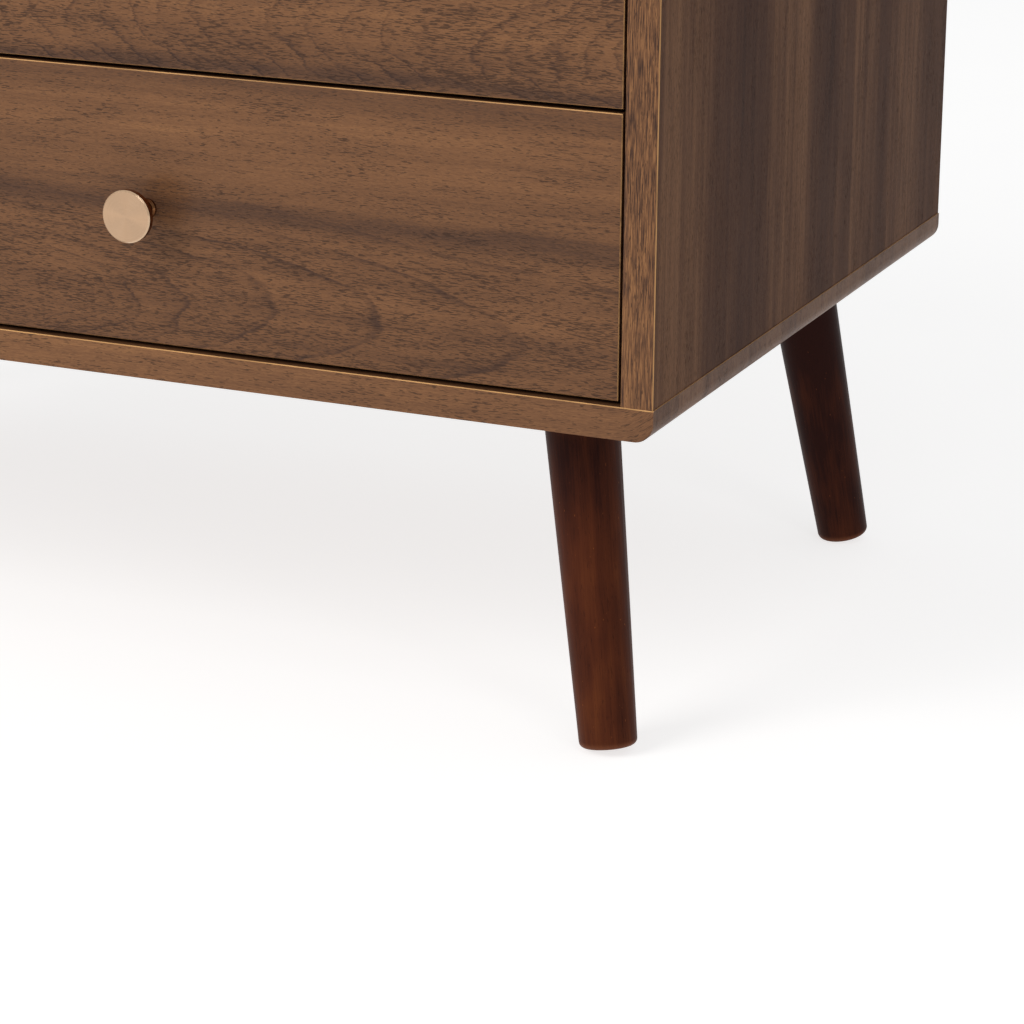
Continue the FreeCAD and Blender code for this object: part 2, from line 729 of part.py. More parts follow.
def drawer(level, name):
    into_front, into_end, into_side, into_back = box_side_dowel_holes(level)
    back_y = f"({BOX_Y} + box_length - box_board)"
    inside = f"2 * {BOX_INNER_X}"
    piece(f"drawer_{name}_front", drawer_front(level, into_front))

    side = board("box_side", ("box_board", "box_length", "box_height"), (BOX_INNER_X, BOX_Y, box_z(level)))
    side_groove = bottom_groove(level, ("box_groove", "box_length - box_board + box_groove"),
                                (BOX_INNER_X, BOX_Y))
    screw_holes = [rod("screw_radius + screw_play", "screw_length - runner_steel + end_play",
                       (f"{BOX_X} - box_board / 2", y, box_z(level))) for y in runner_screw_places()]
    pair(f"drawer_{name}_side", cut(side, [side_groove] + screw_holes + into_end + into_side))

    back = board("box_back", (inside, "box_board", "box_height"),
                 (f"-{BOX_INNER_X}", back_y, box_z(level)))
    back_groove = bottom_groove(level, (inside, "box_groove"), (f"-{BOX_INNER_X}", back_y))
    piece(f"drawer_{name}_back", cut(back, [back_groove] + with_twins(into_back)))

    held = "(box_groove - groove_play)"
    piece(f"drawer_{name}_bottom", board(
        "box_bottom",
        (f"{inside} + 2 * {held}", f"box_length - box_board + 2 * {held}", "box_bottom"),
        (f"-({BOX_INNER_X} + {held})", f"{BOX_Y} - {held}", f"{box_z(level)} + box_bottom_lift"),
    ))
    piece(f"drawer_{name}_dowels", box_dowels(level))
    pair(f"drawer_{name}_knob", knob(level))
    piece(f"drawer_{name}_knob_screws", group(with_twins([knob_screw(level)])))
    drawer_runners(level, name)


def drawer_runners(level, name):
    """The members, rollers, rivets and screws that travel with a drawer."""
    pair(f"drawer_{name}_runner", drawer_runner(level))
    web_x = f"({BOX_X} + runner_steel)"
    roller_y = f"({RUNNER_Y} + runner_length - roller_inset)"
    pair(f"rear_roller_{name}", roller((f"{web_x} + roller_side_gap", roller_y, axle_z(level))))
    rivet = axle(web_x, roller_y, axle_z(level), "+X")
    piece(f"drawer_{name}_axles", group(with_twins([rivet])))
    places = [(f"{BOX_X} - box_board / 2", y, f"{box_z(level)} - runner_steel")
              for y in runner_screw_places()]
    piece(f"drawer_{name}_runner_screws", group(with_twins(copies(pan_screw(), places, "+Z"))))


# --- build, test and write -------------------------------------------------------

carcass()
carcass_fittings()
legs()
runners()
for level, name in enumerate(LEVELS):
    drawer(level, name)
doc.recompute()

for item in doc.Objects:
    if "Invalid" in item.State or "Error" in item.State:
        raise RuntimeError(f"{item.Name} ({item.Label}) failed: {item.State}")
for item in pieces:
    if item.Shape.isNull() or not item.Shape.isValid() or not item.Shape.Solids:
        raise RuntimeError(f"{item.Label} has no valid solid")

os.makedirs("parts", exist_ok=True)
for item in pieces:
    item.Shape.exportStep(f"parts/{item.Label}.step")
print(len(pieces), "pieces written")
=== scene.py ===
import math

import bpy
from mathutils import Matrix, Vector


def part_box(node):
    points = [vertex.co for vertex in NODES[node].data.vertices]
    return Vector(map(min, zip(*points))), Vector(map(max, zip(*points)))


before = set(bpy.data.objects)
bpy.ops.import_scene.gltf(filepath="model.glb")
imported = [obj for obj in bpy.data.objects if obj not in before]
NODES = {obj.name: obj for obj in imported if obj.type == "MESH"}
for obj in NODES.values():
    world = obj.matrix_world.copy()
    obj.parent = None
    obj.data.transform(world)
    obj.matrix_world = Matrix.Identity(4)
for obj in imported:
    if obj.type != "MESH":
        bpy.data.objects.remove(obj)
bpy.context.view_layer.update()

SIDES = ("left", "right")
CORNERS = ("front_left", "front_right", "rear_left", "rear_right")
X_AXIS, Y_AXIS, Z_AXIS = range(3)
MM = 0.001
WHITE = (1.0, 1.0, 1.0, 1.0)


# --- shader building ---------------------------------------------------------------

NOISE_MIDDLE = 0.5
PATTERN_STEP = (131.0, 71.0, 193.0)                     # millimetres between two pieces' patterns
MIX_SOCKETS = {"RGBA": (6, 7, 2), "VECTOR": (4, 5, 1)}  # the first input, the second and the output


def rgb(red, green, blue):
    """A display colour from 0 to 255 as the linear colour that Blender mixes."""
    def linear(level):
        level /= 255
        return level / 12.92 if level <= 0.04045 else ((level + 0.055) / 1.055) ** 2.4
    return (linear(red), linear(green), linear(blue), 1.0)


def pattern_shift(seed, steps=PATTERN_STEP):
    """How far a pattern is moved, so that each piece has its own."""
    return tuple(seed * step for step in steps)


class Shader:
    """One procedural material: most methods add nodes and return their output."""

    def __init__(self, name):
        self.material = bpy.data.materials.new(name)
        self.material.use_nodes = True
        self.tree = self.material.node_tree
        self.surface = self.tree.nodes["Principled BSDF"]
        self.coordinates = self.node("ShaderNodeTexCoord")

    def node(self, kind, **settings):
        made = self.tree.nodes.new(kind)
        for key, setting in settings.items():
            setattr(made, key, setting)
        return made

    def plug(self, socket, source):
        if isinstance(source, bpy.types.NodeSocket):
            self.tree.links.new(source, socket)
        else:
            socket.default_value = source

    def math(self, operation, *sources):
        made = self.node("ShaderNodeMath", operation=operation)
        for socket, source in zip(made.inputs, sources):
            self.plug(socket, source)
        return made.outputs[0]

    def chain(self, operation, first, *others):
        for other in others:
            first = self.math(operation, first, other)
        return first

    def plus(self, *sources):
        return self.chain("ADD", *sources)

    def minus(self, first, second):
        return self.math("SUBTRACT", first, second)

    def times(self, *sources):
        return self.chain("MULTIPLY", *sources)

    def size(self, source):
        return self.math("ABSOLUTE", source)

    def swing(self, noise, amount):
        """A noise about its middle, times an amount."""
        return self.times(self.minus(noise, NOISE_MIDDLE), amount)

    def vector(self, operation, *sources):
        made = self.node("ShaderNodeVectorMath", operation=operation)
        for socket, source in zip(made.inputs, sources):
            self.plug(socket, source)
        return made.outputs[0]

    def split(self, source):
        made = self.node("ShaderNodeSeparateXYZ")
        self.plug(made.inputs[0], source)
        return made.outputs

    def join(self, *sources):
        made = self.node("ShaderNodeCombineXYZ")
        for socket, source in zip(made.inputs, sources):
            self.plug(socket, source)
        return made.outputs[0]

    def noise(self, place, scale=1.0, detail=2.0, roughness=0.5, distortion=0.0):
        made = self.node("ShaderNodeTexNoise")
        for name, source in (("Vector", place), ("Scale", scale), ("Detail", detail),
                             ("Roughness", roughness), ("Distortion", distortion)):
            self.plug(made.inputs[name], source)
        return made.outputs[0]

    def grained(self, place, grain, width, length, **settings):
        """A noise that is drawn out along the grain: width and length are in millimetres."""
        steps = tuple(1 / (length if axis == grain else width) for axis in "XYZ")
        return self.noise(self.vector("MULTIPLY", place, steps), **settings)

    def fade(self, source, low, high, start=0.0, end=1.0):
        """Maps a stretch of values smoothly onto another."""
        made = self.node("ShaderNodeMapRange", interpolation_type="SMOOTHSTEP")
        for socket, number in zip(made.inputs, (source, low, high, start, end)):
            self.plug(socket, number)
        return made.outputs[0]

    def mix(self, share, first, second, kind="RGBA"):
        made = self.node("ShaderNodeMix", data_type=kind)
        first_input, second_input, output = MIX_SOCKETS[kind]
        self.plug(made.inputs[0], share)
        self.plug(made.inputs[first_input], first)
        self.plug(made.inputs[second_input], second)
        return made.outputs[output]

    def ramp(self, source, stops):
        made = self.node("ShaderNodeValToRGB")
        colours = made.color_ramp.elements
        while len(colours) < len(stops):
            colours.new(1.0)
        for element, (place, colour) in zip(colours, stops):
            element.position = place
            element.color = colour
        self.plug(made.inputs[0], source)
        return made.outputs[0]

    def bump(self, height, distance, strength):
        """Raises the surface by the height times a distance in metres."""
        made = self.node("ShaderNodeBump")
        made.inputs["Strength"].default_value = strength
        made.inputs["Distance"].default_value = distance
        self.plug(made.inputs["Height"], height)
        self.tree.links.new(made.outputs[0], self.surface.inputs["Normal"])

    def millimetres(self, place):
        return self.vector("MULTIPLY", place, (1 / MM,) * 3)

    def place(self, seed=0.0):
        """Object coordinates in millimetres, moved by the seed."""
        scaled = self.millimetres(self.coordinates.outputs["Object"])
        return self.vector("ADD", scaled, pattern_shift(seed))

    def normal(self):
        """The flat face normal of the mesh, which tells faces and cut arrises apart."""
        return self.split(self.node("ShaderNodeNewGeometry").outputs["True Normal"])

    def faces(self, axis, low, high):
        """How squarely a face looks along an axis, either way, as its cosine goes from low to high."""
        return self.fade(self.size(self.normal()[axis]), low, high)

    def finish(self, colour, roughness, **settings):
        self.plug(self.surface.inputs["Base Color"], colour)
        self.plug(self.surface.inputs["Roughness"], roughness)
        for key, setting in settings.items():
            self.surface.inputs[key.replace("_", " ")].default_value = setting
        return self.material


# --- walnut laminate ----------------------------------------------------------------

WALNUT = ((0.0, rgb(54, 37, 30)), (0.25, rgb(80, 55, 41)), (0.5, rgb(107, 73, 49)),
          (0.72, rgb(125, 86, 57)), (1.0, rgb(148, 104, 67)))
# Painted shade: a darker copy of the walnut print for faces turned sideways, away from the key light.
SHADED_WALNUT = ((0.0, rgb(54, 37, 31)), (0.25, rgb(69, 46, 36)), (0.5, rgb(86, 59, 44)),
                 (0.75, rgb(108, 77, 56)), (1.0, rgb(126, 91, 66)))
PORE = rgb(42, 28, 23)
# Painted sheen: a grey mixed into the colour of front faces, as if they reflected the pale room.
PAINTED_SHEEN_GREY = rgb(128, 116, 112)
# Tan of the worn foil edge, made paler as a painted highlight.
TAN_AND_HIGHLIGHT = rgb(226, 174, 116)

# How far each layer of the print moves its tone.
BROAD_SWING, STREAK_SWING, FIBRE_SWING, CLOUD_SWING, HAIR_SWING = 0.5, 0.44, 0.24, 0.2, 0.75
RING_DARKNESS = 0.33
ARCH_LIFT = 0.07                                        # the ground between the arches is paler
ARCH_PORES = 0.06                                       # and has more pores
PATCH_SWING = 0.3                                       # patches with more and fewer pores
PORES_FROM, PORES_FULL, PORE_DARKNESS = 0.56, 0.66, 0.74
# How much painted sheen the front faces take.
EDGE_PAINTED_SHEEN = 0.08

# A growth ring runs from 0 to 1: it darkens slowly, ends in a dark line and starts again pale.
SHADE_FROM, LINE_FROM, LINE_FULL, RING_FALL = 0.2, 0.83, 0.94, 0.95
LINE_SHARE, SHADE_SHARE = 0.68, 0.32
ARCH_CORE, ARCH_REACH = 22.0, 58.0                      # millimetres from the arches' middle line
DRIFT_OF_MIDDLE = 18.0                                  # millimetres
SLOW_WAVE, WANDER_WAVE, FEATHER_WAVE = 34.0, 26.0, 7.0  # how the rings' outlines waver


def even_rings(shader, field, spacing):
    return shader.math("DIVIDE", field, spacing)


def growing_rings(shader, field, origin, first, ratio):
    """Ring numbers whose spacing grows by a ratio away from an origin on both sides."""
    nearest = first * 0.6
    reach = shader.size(shader.minus(field, origin))
    reach = shader.math("DIVIDE", shader.math("MAXIMUM", reach, nearest), first)
    return shader.math("LOGARITHM", reach, ratio)


def cathedral(shader, raw, place, along, across, middle, tip, steepness, rings, *spread):
    """Flat-sawn arches on a middle line: their darkness, and how near they are.

    A tip of 1 points along the grain's axis, a tip of -1 against it.
    """
    parts = dict(zip("XYZ", shader.split(raw)))
    slow = shader.grained(place, along, width=50.0, length=90.0, detail=1.0)
    wander = shader.grained(place, along, width=14.0, length=30.0, detail=1.5)
    feather = shader.grained(place, along, width=0.9, length=11.0, detail=2.0, roughness=0.6)
    offset = shader.plus(shader.minus(parts[across], middle), shader.swing(slow, DRIFT_OF_MIDDLE))
    field = shader.plus(shader.times(parts[along], tip), shader.times(offset, offset, steepness),
                        shader.swing(slow, SLOW_WAVE), shader.swing(wander, WANDER_WAVE),
                        shader.swing(feather, FEATHER_WAVE))
    ring = shader.math("FRACT", rings(shader, field, *spread))
    fall = shader.fade(ring, RING_FALL, 1.0, 1.0, 0.0)
    line = shader.times(shader.fade(ring, LINE_FROM, LINE_FULL), fall)
    shade = shader.times(shader.fade(ring, SHADE_FROM, RING_FALL), fall)
    strength = shader.fade(wander, 0.35, 0.62, start=0.35, end=1.0)
    dark = shader.plus(shader.times(line, LINE_SHARE), shader.times(shade, SHADE_SHARE))
    near = shader.fade(shader.size(offset), ARCH_CORE, ARCH_REACH, 1.0, 0.0)
    return shader.times(dark, strength, near), near


def band_tone(shader, parts, grain, across, cloud, streak, middle, half, strength, drift):
    """One soft band along the grain, which wavers with the clouds and breaks up with the streaks."""
    wavering = half * 2.4
    line = shader.plus(shader.minus(parts[across], middle), shader.times(parts[grain], drift))
    line = shader.math("DIVIDE", shader.plus(line, shader.swing(cloud, wavering)), half)
    bell = shader.math("POWER", math.e, shader.times(line, line, -1.0))
    grainy = shader.times(bell, shader.fade(streak, 0.25, 0.6, start=0.55, end=1.0))
    return shader.times(grainy, strength)


def tan_arris_and_highlight(shader, place, grain, ledge_from, x_place):
    """Where the edge band's worn tan corner shows, partly as a painted highlight: on slanting faces, more
    where they face up, and as a thin pale line on the ledge at the ends.
    """
    _, y_part, z_part = shader.normal()
    slant = shader.size(y_part)
    arris = shader.times(shader.fade(slant, 0.3, 0.45), shader.fade(slant, 0.85, 0.95, 1.0, 0.0))
    worn = shader.grained(place, grain, width=3.0, length=30.0, detail=2.0)
    arris = shader.times(arris, shader.fade(worn, 0.3, 0.6, start=0.6, end=1.0))
    # Painted highlight: arrises that face up take more of the pale tan than those facing down.
    arris = shader.times(arris, shader.fade(z_part, -0.5, 0.5, start=0.2, end=1.0))
    # Painted highlight: a thin pale line along the top of the ledge at the ends.
    if ledge_from:
        outer = shader.fade(shader.size(x_place), ledge_from - 0.2, ledge_from)
        ledge = shader.times(outer, shader.fade(z_part, 0.9, 0.99))
        arris = shader.math("MAXIMUM", arris, ledge)
    return arris


def walnut(name, grain, across, seed, arches=None, bands=(), edge_boost=None, tone=0.5, bend=None,
           specular=0.16, gloss=0.31, edge_lift=0.0, end_lift=0.0, ledge_from=None, vivid=1.0):
    """Printed walnut foil: broad bands, streaks, arches and short dark pores, with a worn tan arris that
    also carries a painted highlight; faces turned sideways get painted shade and front faces a painted grey
    sheen.
    """
    shader = Shader(name)
    raw = shader.place()
    if bend:
        raw = bend(shader, raw)
    place = shader.vector("ADD", raw, pattern_shift(seed))
    parts = dict(zip("XYZ", shader.split(raw)))

    broad = shader.grained(place, grain, width=30.0, length=900.0, detail=1.5)
    streak = shader.grained(place, grain, width=5.0, length=260.0, detail=3.0, roughness=0.55)
    fibre = shader.grained(place, grain, width=0.8, length=26.0, detail=2.0, roughness=0.6)
    cloud = shader.grained(place, grain, width=30.0, length=110.0, detail=2.0)
    level = tone
    for layer, amount in ((broad, BROAD_SWING), (streak, STREAK_SWING), (fibre, FIBRE_SWING),
                          (cloud, CLOUD_SWING)):
        level = shader.plus(level, shader.swing(layer, amount * vivid))
    for band in bands:
        level = shader.plus(level, band_tone(shader, parts, grain, across, cloud, streak, *band))
    more_pores = 0.0
    if arches:
        rings, near = cathedral(shader, raw, place, grain, across, *arches)
        level = shader.minus(level, shader.times(rings, RING_DARKNESS))
        level = shader.plus(level, shader.times(near, ARCH_LIFT))
        more_pores = shader.times(near, ARCH_PORES)

    dashes = shader.grained(place, grain, width=0.42, length=4.2, detail=1.5, roughness=0.6)
    level = shader.plus(level, shader.swing(dashes, HAIR_SWING))
    patches = shader.grained(place, grain, width=8.0, length=50.0, detail=2.0)
    dashes = shader.plus(dashes, shader.swing(patches, PATCH_SWING))
    pores = shader.fade(shader.plus(dashes, more_pores), PORES_FROM, PORES_FULL)

    if edge_boost:
        front = shader.faces(Y_AXIS, 0.95, 0.99)
        lines = shader.grained(place, grain, width=0.5, length=12.0, detail=2.0, roughness=0.6)
        lift = shader.plus(shader.swing(lines, edge_boost), edge_lift)
        level = shader.plus(level, shader.times(lift, front))
    # Painted shade: faces turned sideways take the darker copy of the print; end_lift eases that painted
    # shade on the bottom panel's ends.
    sideways = shader.faces(X_AXIS, 0.5, 0.9)
    if end_lift:
        level = shader.plus(level, shader.times(sideways, end_lift))
    colour = shader.mix(sideways, shader.ramp(level, WALNUT), shader.ramp(level, SHADED_WALNUT))
    colour = shader.mix(shader.times(pores, PORE_DARKNESS), colour, PORE)
    # Painted sheen: front faces are greyed a little, as reflected light would do.
    if edge_boost:
        colour = shader.mix(shader.times(front, EDGE_PAINTED_SHEEN), colour, PAINTED_SHEEN_GREY)
    # Worn tan foil edge, with a painted highlight on the upward arrises and the ledge.
    colour = shader.mix(tan_arris_and_highlight(shader, place, grain, ledge_from, parts["X"]), colour, TAN_AND_HIGHLIGHT)

    height = shader.plus(shader.times(pores, -1.0), shader.times(fibre, 0.35))
    shader.bump(height, 0.06 * MM, 0.6)
    rough = shader.plus(shader.times(fibre, 0.1), shader.times(pores, 0.12))
    smudge = shader.noise(place, scale=0.012, detail=3.0)
    average_of_noises = 0.09
    rough = shader.plus(rough, shader.times(smudge, 0.08), gloss - average_of_noises)
    return shader.finish(colour, rough, Specular_IOR_Level=specular)


def bend_at_ends(node, sign):
    """Grain of a panel's front edge turns up, or down, where it is rounded; its ends have upright grain."""
    half_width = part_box(node)[1].x / MM
    bend_length = 22.0
    curvature = 0.02

    def bend(shader, place):
        x_part, y_part, z_part = shader.split(place)
        past = shader.minus(shader.size(x_part), half_width - bend_length)
        past = shader.math("MAXIMUM", past, 0.0)
        lift = shader.times(past, past, curvature * sign)
        front = shader.faces(Y_AXIS, 0.5, 0.9)
        curved = shader.join(x_part, y_part, shader.minus(z_part, shader.times(lift, front)))
        turned = shader.join(z_part, y_part, x_part)
        return shader.mix(shader.faces(X_AXIS, 0.6, 0.7), curved, turned, kind="VECTOR")
    return bend


# --- other materials ------------------------------------------------------------------

LEG_PATTERN_STEP = (57.0, 91.0, 37.0)                   # millimetres between two legs' patterns
LEG_PAINTED_SHADE = {"front": -0.02, "rear": -0.26}             # painted shade, added to the tone of a leg's lower part; the rear legs stand deeper in the cabinet's shade


def leg_axis(name):
    """A point on the leg's axis and the axis's direction, from the middles of its two ends."""
    low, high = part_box(name)
    points = [v.co for v in NODES[name].data.vertices]
    slice_height = 6 * MM

    def middle(chosen):
        return sum(chosen, Vector()) / len(chosen)
    foot = middle([p for p in points if p.z < low.z + slice_height])
    top = middle([p for p in points if p.z > high.z - slice_height])
    return foot, (top - foot).normalized()


def espresso(name, node, seed, painted_shade):
    """Dark stained hardwood under satin lacquer, its grain along the leg, with painted shade towards its
    top and a painted highlight at the foot.
    """
    shader = Shader(name)
    foot, axis = leg_axis(node)
    turn = axis.rotation_difference(Vector((0, 0, 1)))
    mapping = shader.node("ShaderNodeMapping", vector_type="POINT")
    mapping.inputs["Rotation"].default_value = turn.to_euler()
    from_foot = shader.vector("SUBTRACT", shader.coordinates.outputs["Object"], tuple(foot))
    shader.plug(mapping.inputs["Vector"], from_foot)
    own = shader.millimetres(mapping.outputs[0])
    height = shader.split(own)[Z_AXIS]
    place = shader.vector("ADD", own, pattern_shift(seed, LEG_PATTERN_STEP))

    streak = shader.grained(place, "Z", width=5.0, length=90.0, detail=3.0, roughness=0.6)
    fibre = shader.grained(place, "Z", width=0.7, length=18.0, detail=2.0)
    blotch = shader.grained(place, "Z", width=16.0, length=40.0, detail=2.0)
    # Painted shade: the leg darkens towards its top, under the cabinet, and the rear legs are darker all
    # over.
    painted_shade_above = shader.fade(height, 78.0, 135.0, start=painted_shade, end=painted_shade - 0.2)
    level = shader.plus(shader.times(streak, 0.35), shader.times(fibre, 0.2),
                        shader.times(blotch, 0.5), painted_shade_above)
    colour = shader.ramp(level, ((0.2, rgb(42, 19, 15)), (0.5, rgb(78, 38, 22)),
                                 (0.75, rgb(102, 54, 28))))
    flecks = shader.grained(place, "Z", width=1.3, length=2.6, detail=1.0)
    flecks = shader.fade(flecks, 0.75, 0.82)
    colour = shader.mix(shader.times(flecks, 0.4), colour, rgb(150, 84, 40))
    pores = shader.grained(place, "Z", width=0.5, length=4.0, detail=1.0)
    pores = shader.fade(pores, 0.62, 0.72)
    colour = shader.mix(shader.times(pores, 0.35), colour, rgb(24, 10, 9))
    # Painted highlight: a paler ring at the foot, where its rounding catches the light.
    rim = shader.fade(height, 0.6, 3.2, 1.0, 0.0)
    colour = shader.mix(shader.times(rim, 0.35), colour, rgb(128, 78, 52))
    shader.bump(shader.plus(shader.times(pores, -1.0), fibre), 0.05 * MM, 0.5)
    rough = shader.plus(0.36, shader.times(blotch, 0.12))
    return shader.finish(colour, rough, Specular_IOR_Level=0.04)


def brushed_knob(name, node):
    """Champagne metal: a face spun in circles with paler wedges as a painted highlight, a bevel painted
    bright cream as a highlight and a smoother rim painted copper-brown as a reflection of the drawer's
    wood.
    """
    low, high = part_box(node)
    centre = (low + high) / 2
    front = (low.y - centre.y) / MM
    shader = Shader(name)
    spot = shader.vector("SUBTRACT", shader.coordinates.outputs["Object"], tuple(centre))
    spot = shader.millimetres(spot)
    x_part, y_part, z_part = shader.split(spot)
    radius = shader.math("SQRT", shader.plus(shader.times(x_part, x_part), shader.times(z_part, z_part)))
    angle = shader.math("ARCTAN2", z_part, x_part)
    spun = shader.join(shader.times(radius, 9.0), shader.times(angle, 0.6), 0.0)
    circles = shader.noise(spun, detail=3.0, roughness=0.7)
    wedges = shader.size(shader.math("SINE", shader.times(angle, 2.0)))

    outward = shader.times(shader.normal()[Y_AXIS], -1.0)
    facing = shader.fade(outward, 0.9, 0.98)
    slanting = shader.minus(shader.fade(outward, 0.3, 0.5), facing)
    near_face = shader.fade(y_part, front + 1.2, front + 1.8, 1.0, 0.0)
    bevel = shader.times(slanting, near_face)

    face = shader.mix(shader.fade(circles, 0.3, 0.7), rgb(181, 149, 120), rgb(192, 160, 131))
    # Painted highlight: paler wedges across the spun face, where it would catch the light.
    face = shader.mix(shader.times(wedges, 0.16), face, rgb(209, 180, 151))
    # Painted reflection: the rim is a darker copper-brown, as if it mirrored the drawer's wood.
    mottle = shader.fade(shader.noise(spot, scale=0.9, detail=3.0), 0.35, 0.65)
    rim = shader.mix(mottle, rgb(132, 90, 58), rgb(148, 103, 68))
    colour = shader.mix(facing, rim, face)
    # Painted highlight: the bevel is a bright cream and less metallic, so that it shines all round.
    colour = shader.mix(bevel, colour, rgb(214, 180, 146))
    metallic = shader.minus(1.0, shader.times(bevel, 0.7))
    shader.plug(shader.surface.inputs["Metallic"], metallic)
    tangent = shader.node("ShaderNodeTangent", direction_type="RADIAL", axis="Y")
    shader.plug(shader.surface.inputs["Tangent"], tangent.outputs[0])
    shader.bump(shader.times(circles, facing), 0.02 * MM, 0.5)
    rough = shader.minus(0.34, shader.times(shader.minus(1.0, facing), 0.2))
    return shader.finish(colour, rough, Anisotropic=0.65)


def paper_board(name, grain, seed):
    """Matt paper foil of a pale oak print on the hidden drawer boards."""
    shader = Shader(name)
    place = shader.place(seed)
    streak = shader.grained(place, grain, width=4.0, length=160.0, detail=3.0, roughness=0.6)
    fibre = shader.grained(place, grain, width=0.7, length=18.0, detail=2.0)
    level = shader.plus(shader.times(streak, 0.7), shader.times(fibre, 0.3))
    colour = shader.ramp(level, ((0.3, rgb(176, 150, 120)), (0.52, rgb(196, 172, 141)),
                                 (0.72, rgb(210, 189, 160))))
    pores = shader.grained(place, grain, width=0.5, length=6.0, detail=1.0)
    pores = shader.fade(pores, 0.62, 0.7)
    colour = shader.mix(shader.times(pores, 0.4), colour, rgb(142, 116, 88))
    shader.bump(shader.minus(fibre, pores), 0.06 * MM, 0.5)
    rough = shader.plus(0.52, shader.times(fibre, 0.1))
    return shader.finish(colour, rough, Specular_IOR_Level=0.35)


def hardboard(name, seed):
    """Pressed fibre sheet: matt brown, with coarse fibres and paler and darker clumps."""
    shader = Shader(name)
    place = shader.place(seed)
    fibres = shader.noise(place, scale=0.6, detail=5.0, roughness=0.7, distortion=1.2)
    clumps = shader.noise(place, scale=0.05, detail=3.0)
    level = shader.plus(shader.times(fibres, 0.85), shader.times(clumps, 0.15))
    colour = shader.ramp(level, ((0.3, rgb(96, 69, 46)), (0.5, rgb(122, 90, 62)),
                                 (0.7, rgb(144, 110, 79))))
    shader.bump(fibres, 0.2 * MM, 0.6)
    rough = shader.plus(0.66, shader.times(fibres, 0.16))
    return shader.finish(colour, rough)


def powder_steel(name, colour_low, colour_high, seed):
    """Painted or powder-coated sheet steel with a fine orange peel and rubbed places."""
    shader = Shader(name)
    place = shader.place(seed)
    peel = shader.noise(place, scale=1.1, detail=2.0)
    dirt = shader.grained(place, "Y", width=6.0, length=60.0, detail=4.0, roughness=0.6)
    colour = shader.mix(shader.fade(dirt, 0.3, 0.7), colour_low, colour_high)
    shader.bump(peel, 0.12 * MM, 0.5)
    rough = shader.plus(0.34, shader.times(dirt, 0.2))
    return shader.finish(colour, rough)


def nylon(name, seed):
    """Moulded white nylon, a little translucent, scuffed where it rolls."""
    shader = Shader(name)
    place = shader.place(seed)
    scuff = shader.grained(place, "X", width=0.6, length=5.0, detail=4.0, roughness=0.65)
    colour = shader.mix(shader.fade(scuff, 0.35, 0.7), rgb(232, 231, 224), rgb(196, 194, 186))
    shader.bump(scuff, 0.08 * MM, 0.4)
    rough = shader.plus(0.38, shader.times(scuff, 0.2))
    return shader.finish(colour, rough, Subsurface_Weight=0.1)


def zinc(name, seed):
    """Bright zinc plate with cloudy crystals and fine turning marks."""
    shader = Shader(name)
    place = shader.place(seed)
    cloudy = shader.noise(place, scale=0.5, detail=4.0, roughness=0.6, distortion=0.6)
    marks = shader.grained(place, "Y", width=2.0, length=0.25, detail=1.0)
    colour = shader.mix(shader.fade(cloudy, 0.3, 0.7), rgb(186, 188, 190), rgb(214, 212, 204))
    shader.bump(marks, 0.04 * MM, 0.5)
    rough = shader.plus(0.26, shader.times(cloudy, 0.18))
    return shader.finish(colour, rough, Metallic=1.0)


def beech(name, seed):
    """Raw beech dowels with short brown flecks."""
    shader = Shader(name)
    place = shader.place(seed)
    fibre = shader.grained(place, "Z", width=0.8, length=14.0, detail=3.0)
    flecks = shader.grained(place, "Z", width=0.6, length=2.2, detail=1.0)
    flecks = shader.fade(flecks, 0.64, 0.72)
    colour = shader.ramp(fibre, ((0.3, rgb(198, 156, 112)), (0.7, rgb(222, 184, 140))))
    colour = shader.mix(shader.times(flecks, 0.5), colour, rgb(150, 104, 66))
    shader.bump(fibre, 0.08 * MM, 0.4)
    rough = shader.plus(0.6, shader.times(fibre, 0.15))
    return shader.finish(colour, rough)


def floor_paint(name):
    """A pale, matt studio floor with a hardly visible mottle; its own light keeps it nearly white."""
    shader = Shader(name)
    place = shader.place()
    mottle = shader.noise(place, scale=0.006, detail=4.0)
    colour = shader.mix(mottle, rgb(188, 188, 188), rgb(194, 194, 194))
    shader.bump(shader.noise(place, scale=0.2, detail=2.0), 0.2 * MM, 0.2)
    return shader.finish(colour, 0.75, Specular_IOR_Level=0.1, Emission_Color=WHITE,
                         Emission_Strength=0.73)


def wear(node, material):
    """Gives a CAD node one material in all its slots."""
    mesh = NODES[node].data
    if not mesh.materials:
        mesh.materials.append(material)
    for index in range(len(mesh.materials)):
        mesh.materials[index] = material


# --- dressing the nodes -----------------------------------------------------------------

# Bands are (middle, half width, strength, drift along the grain): a negative strength is darker.
# Arches are (middle line, way the tips point, steepness, ring numbers, what these need).

# Bands of a side panel as (place, half width, strength), the first two as shares of its depth.
SIDE_STRIPES = ((0.05, 0.07, 0.14), (0.22, 0.07, -0.15), (0.38, 0.05, 0.1), (0.45, 0.02, 0.1),
                (0.54, 0.06, -0.15), (0.665, 0.04, 0.1), (0.76, 0.025, -0.2), (0.86, 0.045, 0.1),
                (0.97, 0.03, -0.14))
PLATE_BLACKS = (rgb(24, 24, 25), rgb(38, 38, 40))
RUNNER_WHITES = (rgb(208, 207, 202), rgb(226, 225, 221))


def mm_low(node):
    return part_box(node)[0] / MM


